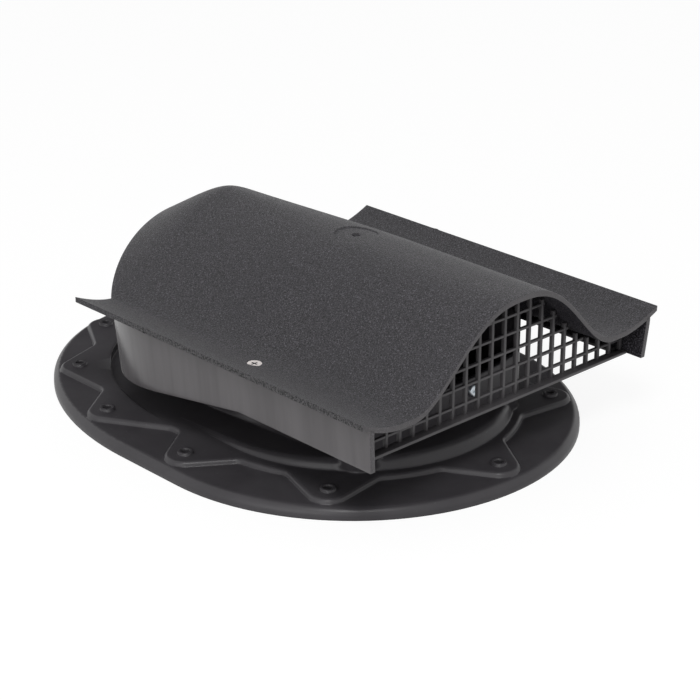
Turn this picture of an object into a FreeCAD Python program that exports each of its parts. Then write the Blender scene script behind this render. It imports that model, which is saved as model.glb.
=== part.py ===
"""Roof tile vent: a moulded base flange with an air duct, a wave-topped hood seated on the duct,
a barred grille screwed in under the hood, and the screws. Millimetres, +Z up. The origin is under
the middle of the flange, on the surface it lies on. The grille faces -Y, down the roof."""
import FreeCAD, Part
import math
import os

from FreeCAD import Vector

# Base flange: an oval plate with a round bow and a longer, elliptical tail
FLANGE_RADIUS = 134.0
FLANGE_STRAIGHT = 50.6
FLANGE_TAIL = 166.0
BASE_SKIN = 3.0
BAND_TOP = 7.0
RIM_ROUND = 5.0
PLATEAU_TOP = 10.0
PLATEAU_INSET = 32.6
PLATEAU_EDGE = 2.5

# Arms of the plateau, each out to a screw boss: one in front, then pairs round to the tail
BOSS_INSET = 16.5
BOSS_WALL = 1.7
BOSS_RISE = 1.8
BOSS_HOLE_RADIUS = 2.7
BOW_BOSS_DEG = 50.0
SIDE_BOSS_SETBACK = 12.2
TAIL_BOSS_DEGS = (14.8, 43.0, 72.8)
ARM_TIP_RADIUS = 12.0
ARM_ROOT_WIDTHS = (58.0, 58.0, 62.0, 88.0, 106.0, 98.0)
ARM_ROOT_DEPTH = 8.0
ARM_ROOT_ROUND = 7.0

# Tilted deck under the hood: it stands proud of the plateau in front and dips below it behind
DECK_FOOT_INSET = 36.0
DECK_SIDE_RUN = 6.0
DECK_SIDE_RISE = 14.0
DECK_ROUND = 5.0
DECK_FRONT_RISE = 8.0
DECK_TILT_DEG = 3.0
DIP_EDGE_INSET = 35.0

# Air duct that stands on the deck and carries the hood
DUCT_HALF_WIDTH = 65.0
DUCT_WALL = 3.0
DUCT_FRONT = 54.0
DUCT_CORNER = 8.0
DUCT_JAMB = 6.0
DUCT_SILL = 41.4
DUCT_SILL_SAG = 5.0
SEAT_GAP = 0.3

# Hood
HOOD_SETBACK = 4.0
HOOD_LENGTH = 240.0
HOOD_WALL = 3.3
HOOD_LIFT = 45.4
WING_HALF_WIDTH = 117.0
WING_OVERHANG = 5.4
WING_RISE = 8.2
WING_FLARE = 29.0
VALLEY_HEIGHT = 22.1
CREST_RISE = 47.2
CREST_CLIMB = 1.0
FRONT_LEAN_DEG = 2.9
SKIRT_STRAIGHT = 176.0
SKIRT_DRAFT_DEG = 5.0
SKIRT_KINK = 105.0
SKIRT_FALL = 0.17
GATE_RECESS_RADIUS = 12.5
GATE_RECESS_DEPTH = 0.8
GATE_SETBACK = 127.0
GATE_DIMPLE_RADIUS = 2.5

# Shape of the hood's top: a soft wave at the front, a fuller round-backed hump behind
FRONT_WAVE_HALF_WIDTH = 79.5
FRONT_WAVE_POWER = 1.3
REAR_WAVE_POWER = 0.85
REAR_ROUNDING = 0.24
REAR_TURN = 238.0
REAR_REACH = 95.0
BLEND_START = 100.0
BLEND_END = 290.0
WING_POWER = 1.7

# Grille
GRILLE_RECESS = 14.9
BAR_PITCH = 10.0
BAR_END_GAP = 0.5
BAR_WIDTH = 1.9
BAR_DEPTH = 2.4
ROW_PITCH = 10.3
FIRST_ROW = 8.2
ROW_HEIGHT = 1.5
ROW_DEPTH = 2.0
LEDGE_HEIGHT = 1.8
LEDGE_FORWARD = 3.5
RAIL_WIDTH = 5.0
RAIL_GAP = 1.2
GRILLE_TOP_GAP = 1.5
BLOCK_FRONT = 93.0
BLOCK_LENGTH = 25.0
BLOCK_WIDTH = 19.0
BLOCK_EDGE = 2.0

# Wing screws, countersunk in the hood, and pan-head screws in the duct's front wall
SCREW_SETBACK = 110.0
SCREW_INSET = 24.0
SCREW_RADIUS = 2.1
SCREW_HEAD_RADIUS = 4.2
SCREW_LENGTH = 16.0
SCREW_SINK = 0.2
SCREW_FIT = 0.1
RECESS_WIDTH = 1.1
RECESS_SPAN = 4.6
RECESS_DEPTH = 1.4
PAN_HEAD_RADIUS = 4.0
PAN_HEAD_HEIGHT = 2.4
PAN_SCREW_LENGTH = 12.0
PAN_SCREW_OFFSET = 22.0
PAN_SCREW_HEIGHT = 34.4
PAN_HEAD_ROUND = 1.2
SCREW_BOSS_WALL = 2.4

# Grid of the hood's free-form faces
GRID_ACROSS = 41
GRID_ALONG = 37
GRID_MARGIN = 3.0
TOLERANCE = 1e-4
CORNER_COSINE = 0.98

FLANGE_FRONT = -(FLANGE_RADIUS + FLANGE_STRAIGHT + FLANGE_TAIL) / 2
BOW_CENTRE = FLANGE_FRONT + FLANGE_RADIUS
TAIL_CENTRE = BOW_CENTRE + FLANGE_STRAIGHT
HOOD_FRONT = FLANGE_FRONT + HOOD_SETBACK
SKIRT_HALF_WIDTH = WING_HALF_WIDTH - WING_OVERHANG
VALLEY_HALF_WIDTH = WING_HALF_WIDTH - WING_FLARE
SCREW_OFFSET = WING_HALF_WIDTH - SCREW_INSET
DRAFT = math.tan(math.radians(SKIRT_DRAFT_DEG))
WING_LEVEL = HOOD_LIFT + VALLEY_HEIGHT
APSE_CENTRE = HOOD_FRONT + SKIRT_STRAIGHT
HOOD_BACK = APSE_CENTRE + SKIRT_HALF_WIDTH
HOOD_TOP = WING_LEVEL + CREST_RISE + CREST_CLIMB
SKIRT_INNER = SKIRT_HALF_WIDTH - VALLEY_HEIGHT * DRAFT - HOOD_WALL
UP = Vector(0, 0, 1)


def oval_wire(radius, z):
    """Closed outline with a round bow, two straight sides and an elliptical tail, at height z."""
    tail = FLANGE_TAIL - FLANGE_RADIUS + radius
    left_front, right_front = Vector(-radius, BOW_CENTRE, z), Vector(radius, BOW_CENTRE, z)
    left_back, right_back = Vector(-radius, TAIL_CENTRE, z), Vector(radius, TAIL_CENTRE, z)
    front = Part.Arc(left_front, Vector(0, BOW_CENTRE - radius, z), right_front).toShape()
    tip = Vector(0, TAIL_CENTRE + tail, z)
    ellipse = Part.Ellipse(tip, left_back, Vector(0, TAIL_CENTRE, z))
    back = Part.ArcOfEllipse(ellipse, -math.pi / 2, math.pi / 2).toShape()
    right = Part.makeLine(right_front, right_back)
    left = Part.makeLine(left_back, left_front)
    return Part.Wire([front, right, back, left])


def prism(wire, height):
    return Part.Face(wire).extrude(UP * height)


def oval_frustum(lower_radius, lower_z, upper_radius, upper_z):
    wires = [oval_wire(lower_radius, lower_z), oval_wire(upper_radius, upper_z)]
    return Part.makeLoft(wires, True, True)


def boss_places():
    """Every boss with its outward direction and the width of its arm's root."""
    radius = FLANGE_RADIUS - BOSS_INSET
    tail = FLANGE_TAIL - BOSS_INSET
    turn = math.radians(BOW_BOSS_DEG)
    bow = Vector(math.sin(turn), -math.cos(turn), 0)
    rights = [(Vector(0, BOW_CENTRE, 0) + bow * radius, bow)]
    rights.append((Vector(radius, BOW_CENTRE + SIDE_BOSS_SETBACK, 0), Vector(1, 0, 0)))
    for degrees in TAIL_BOSS_DEGS:
        turn = math.radians(degrees)
        point = Vector(radius * math.cos(turn), TAIL_CENTRE + tail * math.sin(turn), 0)
        outward = Vector(math.cos(turn) / radius, math.sin(turn) / tail, 0)
        rights.append((point, outward.normalize()))
    places = [(Vector(0, BOW_CENTRE - radius, 0), Vector(0, -1, 0), ARM_ROOT_WIDTHS[0])]
    for (point, outward), width in zip(rights, ARM_ROOT_WIDTHS[1:]):
        places.append((point, outward, width))
        places.append((Vector(-point.x, point.y, 0), Vector(-outward.x, outward.y, 0), width))
    return places


def arm(point, outward, width, inset, bottom, top):
    """Tapered arm from the plateau out to a round tip about a boss."""
    tip = ARM_TIP_RADIUS - inset
    root = width / 2 - inset
    side = Vector(-outward.y, outward.x, 0)
    foot = point - outward * (PLATEAU_INSET - BOSS_INSET + ARM_ROOT_DEPTH)
    lift = UP * bottom
    reach = (point - foot).Length
    slope = math.atan2(root - tip, reach)
    bow = side * (tip * math.cos(slope)) + outward * (tip * math.sin(slope))
    stern = side * (-tip * math.cos(slope)) + outward * (tip * math.sin(slope))
    corners = [foot - side * root, point + stern, point + bow, foot + side * root]
    corners = [corner + lift for corner in corners]
    nose = Part.Arc(corners[1], point + outward * tip + lift, corners[2]).toShape()
    edges = [Part.makeLine(corners[0], corners[1]), nose]
    edges.append(Part.makeLine(corners[2], corners[3]))
    edges.append(Part.makeLine(corners[3], corners[0]))
    return prism(Part.Wire(edges), top - bottom)


def plateau(inset, bottom, top):
    """The raised star: an oval with an arm to every boss."""
    solid = prism(oval_wire(FLANGE_RADIUS - PLATEAU_INSET - inset, bottom), top - bottom)
    arms = [arm(*place, inset, bottom, top) for place in boss_places()]
    return solid.fuse(arms).removeSplitter()


def level_edges(shape, z):
    return [e for e in shape.Edges if all(abs(v.Z - z) < TOLERANCE for v in e.Vertexes)]


def upright_edges(shape):
    edges = [e for e in shape.Edges if len(e.Vertexes) == 2 and e.Length > TOLERANCE]
    return [e for e in edges if abs(e.tangentAt(e.FirstParameter).z) > 1 - TOLERANCE]


def arm_corners(star):
    """Upright edges where an arm's side meets the plateau's oval or the next arm at an angle."""
    found = []
    for edge in upright_edges(star):
        middle = edge.CenterOfMass
        faces = star.ancestorsOfType(edge, Part.Face)
        normals = [face.normalAt(*face.Surface.parameter(middle)) for face in faces]
        if normals[0].dot(normals[1]) < CORNER_COSINE:
            found.append(edge)
    return found


def tilted(shape):
    """A shape drawn about z = 0, laid on the deck's tilted plane."""
    front = FLANGE_FRONT + DECK_FOOT_INSET
    shape.rotate(Vector(0, front, 0), Vector(1, 0, 0), -DECK_TILT_DEG)
    shape.translate(UP * (PLATEAU_TOP + DECK_FRONT_RISE))
    return shape


def deck(shrink):
    """Raised oval with sloping sides; a shrunk one is the hollow a wall below it."""
    foot = FLANGE_RADIUS - DECK_FOOT_INSET - shrink
    solid = oval_frustum(foot, -DECK_SIDE_RISE, foot - DECK_SIDE_RUN, 0)
    solid = solid.makeFillet(DECK_ROUND - shrink / 2, level_edges(solid, 0))
    solid.translate(UP * -shrink)
    room = prism(oval_wire(FLANGE_RADIUS, 0), HOOD_TOP)
    return tilted(solid).common(room)


def duct_wire(grow, z):
    """Outline of the duct: a round back, straight sides and a flat front."""
    half = DUCT_HALF_WIDTH + grow
    front = HOOD_FRONT + DUCT_FRONT + DUCT_WALL - grow
    corner = DUCT_CORNER + grow
    bend = corner * (1 - math.sqrt(0.5))
    centre = APSE_CENTRE
    left_low, right_low = Vector(-half + corner, front, z), Vector(half - corner, front, z)
    left_up, right_up = Vector(-half, front + corner, z), Vector(half, front + corner, z)
    left_back, right_back = Vector(-half, centre, z), Vector(half, centre, z)
    edges = [Part.makeLine(left_low, right_low)]
    edges.append(Part.Arc(right_low, Vector(half - bend, front + bend, z), right_up).toShape())
    edges.append(Part.makeLine(right_up, right_back))
    edges.append(Part.Arc(right_back, Vector(0, centre + half, z), left_back).toShape())
    edges.append(Part.makeLine(left_back, left_up))
    edges.append(Part.Arc(left_up, Vector(-half + bend, front + bend, z), left_low).toShape())
    return Part.Wire(edges)


def duct_mouth():
    """Opening in the duct's front wall, over a sill that sags in the middle."""
    half = DUCT_HALF_WIDTH + DUCT_WALL - DUCT_JAMB
    y = HOOD_FRONT + DUCT_FRONT - DUCT_WALL
    side = DUCT_SILL + DUCT_SILL_SAG
    left, right = Vector(-half, y, side), Vector(half, y, side)
    high_left, high_right = Vector(-half, y, HOOD_TOP), Vector(half, y, HOOD_TOP)
    edges = [Part.Arc(left, Vector(0, y, DUCT_SILL), right).toShape()]
    edges.append(Part.makeLine(right, high_right))
    edges.append(Part.makeLine(high_right, high_left))
    edges.append(Part.makeLine(high_left, left))
    reach = 2 * DUCT_WALL + DUCT_CORNER
    return Part.Face(Part.Wire(edges)).extrude(Vector(0, reach, 0))


def hood_profile(across, along):
    """Height of the hood's top above the valley, at a place across and along from its front."""
    x = abs(across)
    flare = max(0.0, x - VALLEY_HALF_WIDTH) / WING_FLARE
    wing = WING_RISE * flare ** WING_POWER
    aft = max(0.0, along - REAR_TURN) / REAR_REACH
    spread = min(1.0, math.hypot(x / FRONT_WAVE_HALF_WIDTH, aft))
    soft = 0.5 * (1 + math.cos(math.pi * spread ** FRONT_WAVE_POWER))
    spread = min(1.0, math.hypot(x / VALLEY_HALF_WIDTH, aft))
    flat = math.hypot(1, REAR_ROUNDING) - REAR_ROUNDING
    full = 1 - (math.hypot(spread ** REAR_WAVE_POWER, REAR_ROUNDING) - REAR_ROUNDING) / flat
    share = min(1.0, max(0.0, (along - BLEND_START) / (BLEND_END - BLEND_START)))
    share = share * share * (3 - 2 * share)
    crest = CREST_RISE + CREST_CLIMB * along / HOOD_LENGTH
    return wing + crest * ((1 - share) * soft + share * full)


def top_height(across, along):
    return WING_LEVEL + hood_profile(across, along)


def under_height(across, along):
    """Underside of the hood's sheet, one wall straight below its top."""
    return top_height(across, along) - HOOD_WALL


def below_surface(height):
    """Solid under a free-form face, reaching down past the floor."""
    half = WING_HALF_WIDTH + GRID_MARGIN
    length = HOOD_BACK - HOOD_FRONT + 2 * GRID_MARGIN
    rows = []
    for j in range(GRID_ALONG):
        along = -GRID_MARGIN + length * j / (GRID_ALONG - 1)
        row = []
        for i in range(GRID_ACROSS):
            across = -half + 2 * half * i / (GRID_ACROSS - 1)
            row.append(Vector(across, HOOD_FRONT + along, height(across, along)))
        rows.append(row)
    surface = Part.BSplineSurface()
    surface.interpolate(rows)
    return surface.toShape().extrude(UP * -(HOOD_TOP + GRID_MARGIN))


def skirt_wire(shrink, z):
    """Outline of the hood's body at height z: open-ended front, round back, drafted walls."""
    lean = -abs(z - WING_LEVEL) * DRAFT
    half = SKIRT_HALF_WIDTH + lean - shrink
    front = HOOD_FRONT - GRID_MARGIN
    left_front, right_front = Vector(-half, front, z), Vector(half, front, z)
    left_back, right_back = Vector(-half, APSE_CENTRE, z), Vector(half, APSE_CENTRE, z)
    edges = [Part.makeLine(left_front, right_front), Part.makeLine(right_front, right_back)]
    edges.append(Part.Arc(right_back, Vector(0, APSE_CENTRE + half, z), left_back).toShape())
    edges.append(Part.makeLine(left_back, left_front))
    return Part.Wire(edges)


def skirt_body(shrink):
    levels = (-GRID_MARGIN, WING_LEVEL, HOOD_TOP + GRID_MARGIN)
    return Part.makeLoft([skirt_wire(shrink, z) for z in levels], True, True)


def crosswise(corners):
    """Solid of a side-view outline, carried right across the hood."""
    half = WING_HALF_WIDTH + GRID_MARGIN
    points = [Vector(-half, y, z) for y, z in corners]
    return Part.Face(Part.makePolygon(points + points[:1])).extrude(Vector(2 * half, 0, 0))


def skirt_cut():
    """What lies below the skirt's bottom edge: level in front, falling to the rear."""
    kink = HOOD_FRONT + SKIRT_KINK
    end = HOOD_BACK + GRID_MARGIN
    start = HOOD_FRONT - 2 * GRID_MARGIN
    corners = [(start, HOOD_LIFT), (kink, HOOD_LIFT), (end, HOOD_LIFT - SKIRT_FALL * (end - kink))]
    return crosswise(corners + [(end, -2 * GRID_MARGIN), (start, -2 * GRID_MARGIN)])


def behind_front():
    """What lies behind the hood's front edge, which leans out towards the crest."""
    lean = math.tan(math.radians(FRONT_LEAN_DEG))
    low, high = -2 * GRID_MARGIN, HOOD_TOP + 2 * GRID_MARGIN
    end = HOOD_BACK + 2 * GRID_MARGIN
    corners = [(HOOD_FRONT - lean * (z - WING_LEVEL), z) for z in (low, high)]
    return crosswise(corners + [(end, high), (end, low)])


def screw_place(side):
    """Middle of a wing screw's head, just under the hood's top."""
    return Vector(side * SCREW_OFFSET, HOOD_FRONT + SCREW_SETBACK,
                  top_height(SCREW_OFFSET, SCREW_SETBACK) - SCREW_SINK)


def countersunk(place, head, shank, length):
    cone = head - shank
    body = Part.makeCone(shank, head, cone, place - UP * cone)
    stem = Part.makeCylinder(shank, length - cone - shank, place - UP * (length - shank))
    point = Part.makeCone(0, shank, shank, place - UP * length)
    return body.fuse([stem, point])


def cross_recess(depth):
    """Cross-shaped driver recess about the origin, cut down from z = 0."""
    box = (RECESS_SPAN, RECESS_WIDTH, 2 * depth)
    corner = Vector(-RECESS_SPAN / 2, -RECESS_WIDTH / 2, -depth)
    blade = Part.makeBox(*box, corner)
    other = blade.copy()
    other.rotate(Vector(0, 0, 0), UP, 90)
    return blade.fuse(other)


def make_hood(top, under):
    half = WING_HALF_WIDTH
    corner = Vector(-half, HOOD_FRONT - GRID_MARGIN, 0)
    sheet = Part.makeBox(2 * half, HOOD_LENGTH + GRID_MARGIN, HOOD_TOP, corner)
    body = skirt_body(0)
    wall = body.cut(skirt_body(HOOD_WALL))
    outline = sheet.fuse(body).common(behind_front())
    hood = outline.common(top).cut(under.cut(wall)).cut(skirt_cut())
    gate = Vector(0, HOOD_FRONT + GATE_SETBACK, WING_LEVEL)
    recess = Part.makeCylinder(GATE_RECESS_RADIUS, HOOD_TOP, gate)
    floor = top.copy()
    floor.translate(UP * -GATE_RECESS_DEPTH)
    hood = hood.cut(recess.cut(floor))
    gate.z = top_height(0, GATE_SETBACK) - GATE_RECESS_DEPTH - HOOD_WALL / 2
    hood = hood.cut(Part.makeCone(0, 2 * GATE_DIMPLE_RADIUS, HOOD_WALL, gate))
    for side in (-1, 1):
        place = screw_place(side)
        sink = HOOD_WALL + SCREW_SINK
        seat = Part.makeCone(SCREW_RADIUS, SCREW_HEAD_RADIUS, SCREW_HEAD_RADIUS - SCREW_RADIUS,
                             place - UP * (SCREW_HEAD_RADIUS - SCREW_RADIUS))
        mouth = Part.makeCylinder(SCREW_HEAD_RADIUS, sink, place)
        bore = Part.makeCylinder(SCREW_RADIUS + SCREW_FIT, 2 * sink, place - UP * 2 * sink)
        hood = hood.cut([seat, mouth, bore])
    return hood.removeSplitter()


def make_grille(under):
    """Upright and cross bars on a ledge, with a rail back along each side to a screw block."""
    bar_front = HOOD_FRONT + GRILLE_RECESS
    bars = []
    span = SKIRT_INNER - SEAT_GAP
    last_bar = span - BAR_END_GAP - BAR_WIDTH / 2
    count = round(last_bar / BAR_PITCH + 0.5)
    pitch = last_bar / (count - 0.5)
    for i in range(count):
        for side in (-1, 1):
            corner = Vector(side * (i + 0.5) * pitch - BAR_WIDTH / 2, bar_front, HOOD_LIFT)
            bars.append(Part.makeBox(BAR_WIDTH, BAR_DEPTH, HOOD_TOP - HOOD_LIFT, corner))
    z = HOOD_LIFT + FIRST_ROW
    while z < WING_LEVEL + CREST_RISE - HOOD_WALL - GRILLE_TOP_GAP - ROW_HEIGHT:
        corner = Vector(-span, bar_front + (BAR_DEPTH - ROW_DEPTH) / 2, z - ROW_HEIGHT / 2)
        bars.append(Part.makeBox(2 * span, ROW_DEPTH, ROW_HEIGHT, corner))
        z += ROW_PITCH
    lowered = under.copy()
    lowered.translate(UP * -GRILLE_TOP_GAP)
    lattice = bars[0].fuse(bars[1:]).common(lowered)
    corner = Vector(-span, bar_front - LEDGE_FORWARD, HOOD_LIFT)
    pieces = [Part.makeBox(2 * span, LEDGE_FORWARD + BAR_DEPTH, LEDGE_HEIGHT, corner)]
    rail_length = BLOCK_FRONT + BLOCK_EDGE - GRILLE_RECESS
    pilots = []
    for side in (-1, 1):
        outer = SKIRT_INNER - RAIL_GAP
        x = outer - RAIL_WIDTH if side > 0 else -outer
        corner = Vector(x, bar_front, HOOD_LIFT)
        pieces.append(Part.makeBox(RAIL_WIDTH, rail_length, LEDGE_HEIGHT, corner))
        x = outer - BLOCK_WIDTH if side > 0 else -outer
        corner = Vector(x, HOOD_FRONT + BLOCK_FRONT, HOOD_LIFT)
        block = Part.makeBox(BLOCK_WIDTH, BLOCK_LENGTH, block_top() - HOOD_LIFT, corner)
        pieces.append(block.makeFillet(BLOCK_EDGE, upright_edges(block)))
        foot = screw_place(side) - UP * (SCREW_LENGTH + SCREW_FIT)
        pilots.append(Part.makeCylinder(SCREW_RADIUS + SCREW_FIT, SCREW_LENGTH, foot))
    return lattice.fuse(pieces).cut(pilots).removeSplitter()


def block_top():
    """A seat gap below the lowest place of the hood's underside over a screw block."""
    outer = SKIRT_INNER - RAIL_GAP
    across = [outer - BLOCK_WIDTH * i / 4 for i in range(5)]
    along = [BLOCK_FRONT + BLOCK_LENGTH * j / 2 for j in range(3)]
    return min(under_height(x, y) for x in across for y in along) - SEAT_GAP


def duct_screw_place(side):
    return Vector(side * PAN_SCREW_OFFSET, HOOD_FRONT + DUCT_FRONT, PAN_SCREW_HEIGHT)


def make_base(under):
    oval = FLANGE_RADIUS
    plate = prism(oval_wire(oval, 0), BAND_TOP)
    plate = plate.makeFillet(RIM_ROUND, level_edges(plate, BAND_TOP))
    star = plateau(0, BASE_SKIN, PLATEAU_TOP)
    star = star.makeFillet(ARM_ROOT_ROUND, arm_corners(star))
    star = star.makeFillet(PLATEAU_EDGE, level_edges(star, PLATEAU_TOP))
    dip = tilted(prism(oval_wire(oval - DIP_EDGE_INSET, 0), HOOD_LIFT))
    base = plate.fuse(star).cut(dip).fuse(deck(0))
    hollow = prism(oval_wire(oval - BASE_SKIN, -BASE_SKIN), BAND_TOP)
    hollow = hollow.fuse(plateau(BASE_SKIN, 0, PLATEAU_TOP - BASE_SKIN))
    hollow = hollow.cut(prism(oval_wire(oval - DIP_EDGE_INSET + BASE_SKIN, -BASE_SKIN), HOOD_LIFT))
    base = base.cut([hollow, deck(BASE_SKIN)])
    added = []
    bored = []
    for point, outward, width in boss_places():
        top = PLATEAU_TOP + BOSS_RISE
        added.append(Part.makeCylinder(BOSS_HOLE_RADIUS + BOSS_WALL, top, point))
        bored.append(Part.makeCylinder(BOSS_HOLE_RADIUS, 2 * top, point - UP * top / 2))
    lowered = under.copy()
    lowered.translate(UP * -SEAT_GAP)
    duct = prism(duct_wire(DUCT_WALL, 0), HOOD_TOP).common(lowered).cut(duct_mouth())
    added.append(duct)
    bored.append(prism(duct_wire(0, -BASE_SKIN), 2 * HOOD_TOP))
    base = base.fuse(added).cut(bored)
    back = Vector(0, 1, 0)
    pilot = SCREW_RADIUS + SCREW_FIT
    added = []
    bored = []
    for side in (-1, 1):
        place = duct_screw_place(side)
        added.append(Part.makeCylinder(pilot + SCREW_BOSS_WALL, PAN_SCREW_LENGTH, place, back))
        bored.append(Part.makeCylinder(pilot, 2 * PAN_SCREW_LENGTH, place - back, back))
    return base.fuse(added).cut(bored).removeSplitter()


def make_wing_screws():
    screws = []
    for side in (-1, 1):
        place = screw_place(side)
        screw = countersunk(place, SCREW_HEAD_RADIUS, SCREW_RADIUS, SCREW_LENGTH)
        cross = cross_recess(RECESS_DEPTH)
        cross.translate(place)
        screws.append(screw.cut(cross))
    return Part.makeCompound(screws)


def make_duct_screws():
    screws = []
    for side in (-1, 1):
        head = Part.makeCylinder(PAN_HEAD_RADIUS, PAN_HEAD_HEIGHT)
        head = head.makeFillet(PAN_HEAD_ROUND, level_edges(head, PAN_HEAD_HEIGHT))
        stem = Part.makeCylinder(SCREW_RADIUS, PAN_SCREW_LENGTH, UP * -PAN_SCREW_LENGTH)
        cross = cross_recess(RECESS_DEPTH)
        cross.translate(UP * PAN_HEAD_HEIGHT)
        screw = head.fuse(stem).cut(cross)
        screw.rotate(Vector(0, 0, 0), Vector(1, 0, 0), 90)
        screw.translate(duct_screw_place(side))
        screws.append(screw)
    return Part.makeCompound(screws)


if __name__ == "__main__":
    os.makedirs("parts", exist_ok=True)
    top = below_surface(top_height)
    under = below_surface(under_height)
    nodes = {
        "base_flange": make_base(under),
        "hood": make_hood(top, under),
        "front_grille": make_grille(under),
        "wing_screws": make_wing_screws(),
        "duct_screws": make_duct_screws(),
    }
    for name, shape in nodes.items():
        print(name, shape.isValid(), len(shape.Solids), round(shape.Volume))
        shape.exportStep(f"parts/{name}.step")
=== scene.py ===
# %% [markdown]
# # A roof tile vent, dressed for its picture
# On a bench the vent comes apart into a moulded base flange with an air duct, a hood whose top
# repeats the wave of a roof tile, a barred grille in the hood's mouth, and two kinds of screw.
# The solids come from the frame with their places and sizes. This script gives them the surfaces
# that the eye reads: soft edges, a sanded mould finish, satin plastic and plated steel.

# %% Load the solids
import math

import bmesh
import bpy
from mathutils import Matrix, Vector
from mathutils.bvhtree import BVHTree


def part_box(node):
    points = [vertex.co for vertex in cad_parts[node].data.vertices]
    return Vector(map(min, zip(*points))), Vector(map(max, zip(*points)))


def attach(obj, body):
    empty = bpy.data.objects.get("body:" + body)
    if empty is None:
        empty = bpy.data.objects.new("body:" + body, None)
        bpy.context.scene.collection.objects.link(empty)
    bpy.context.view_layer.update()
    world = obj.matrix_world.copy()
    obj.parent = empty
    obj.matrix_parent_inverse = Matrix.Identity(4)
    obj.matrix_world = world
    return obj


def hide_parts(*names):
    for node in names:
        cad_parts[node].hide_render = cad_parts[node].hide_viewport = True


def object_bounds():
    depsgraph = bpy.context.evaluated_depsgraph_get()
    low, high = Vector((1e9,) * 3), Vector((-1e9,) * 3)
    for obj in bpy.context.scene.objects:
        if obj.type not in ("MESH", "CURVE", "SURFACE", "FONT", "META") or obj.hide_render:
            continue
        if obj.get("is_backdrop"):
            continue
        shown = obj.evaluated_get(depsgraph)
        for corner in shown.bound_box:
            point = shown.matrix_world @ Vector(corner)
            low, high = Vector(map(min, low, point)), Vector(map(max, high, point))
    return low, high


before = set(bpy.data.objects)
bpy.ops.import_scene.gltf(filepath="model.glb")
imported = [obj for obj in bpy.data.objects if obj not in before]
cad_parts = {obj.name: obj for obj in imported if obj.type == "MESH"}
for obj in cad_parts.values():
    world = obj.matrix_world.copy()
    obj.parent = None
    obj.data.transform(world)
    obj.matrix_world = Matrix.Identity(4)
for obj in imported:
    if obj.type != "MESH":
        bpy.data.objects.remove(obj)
cad_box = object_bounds()
MM = 0.001
print("nodes", sorted(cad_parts))

# %% [markdown]
# ## Small tools
# Nodes are added all through this lesson, so one function does it: it makes a node, sets its
# properties, and fills or links its inputs. A second one turns a colour as a painter writes it, an
# sRGB hex value, into the linear numbers that a shader works with. The other two start a piece from
# a mesh and, once its modifiers have done their work, turn it into one plain mesh.


# %% Helpers
def add(tree, kind, inputs=None, **settings):
    node = tree.nodes.new(kind)
    for key, value in settings.items():
        setattr(node, key, value)
    for key, value in (inputs or {}).items():
        if isinstance(value, bpy.types.Node):
            value = value.outputs[0]
        if isinstance(value, bpy.types.NodeSocket):
            tree.links.new(value, node.inputs[key])
        else:
            node.inputs[key].default_value = value
    return node


def linear(hex_colour):
    channels = [int(hex_colour[i:i + 2], 16) / 255 for i in (1, 3, 5)]
    return [c / 12.92 if c <= 0.04045 else ((c + 0.055) / 1.055) ** 2.4 for c in channels] + [1.0]


def piece_of(name, work):
    mesh = bpy.data.meshes.new(name)
    work.to_mesh(mesh)
    work.free()
    piece = bpy.data.objects.new(name, mesh)
    bpy.context.scene.collection.objects.link(piece)
    return piece


def made_plain(piece):
    graph = bpy.context.evaluated_depsgraph_get()
    mesh = bpy.data.meshes.new_from_object(piece.evaluated_get(graph))
    mesh.name = piece.name
    piece.modifiers.clear()
    piece.data = mesh
    return piece


print("mid grey #808080 is", round(linear("#808080")[0], 3), "in linear light")

# %% [markdown]
# ## A start for the finishes
# Every moulded piece is polypropylene filled with carbon black, so the colours are close, and what
# sets the pieces apart is the mould's own surface. Each finish below is a Principled shader with a few
# patterns in front of it. The patterns lie on Object coordinates, so they stay put on the piece, and
# their sizes are written in millimetres. Four kinds of node come up all the time, so their long names
# get short ones. A Map Range takes its value, the range it comes from and the range it goes to as inputs
# 0 to 4, and a Mix of two colours has its own sockets, which are named here too.


# %% One new material, a pattern's scale from its size, and short names
NOISE, RANGE, MIX, MATH = "ShaderNodeTexNoise", "ShaderNodeMapRange", "ShaderNodeMix", "ShaderNodeMath"
SHARE, FIRST, SECOND, MIXED = 0, 6, 7, 2
POLYPROPYLENE_IOR = 1.49


def material_of(name):
    material = bpy.data.materials.new(name)
    material.use_nodes = True
    tree = material.node_tree
    return material, tree, tree.nodes["Principled BSDF"], add(tree, "ShaderNodeTexCoord").outputs["Object"]


def scale_of(size_mm):
    return 1 / (size_mm * MM)


print("a 1 mm pattern has scale", scale_of(1))

# %% [markdown]
# ## The hood's plastic
# The hood's top has the fine grain of a sand-blasted mould, and single bright points are painted into
# its colour as painted highlights, standing for the glints of its grains. It lightens towards the crest,
# where the eye meets it at a low angle. The skirt is smoother and lighter with faint upright bands, as if
# drawn along a polished slide. The wings' edges show coarse torn grain. The inside is taken to be dull,
# as a mould's core is seldom polished, and so it stays dark in the mouth. One material holds them all,
# and three attributes of the mesh say where each belongs.

# %% Sand-textured polypropylene: its patterns
hood_plastic, tree, shader, place = material_of("polypropylene_sand_textured")
sanded, torn, core_side = [add(tree, "ShaderNodeAttribute", attribute_name=name).outputs["Fac"]
                           for name in ("sanded", "torn", "core_side")]
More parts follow.
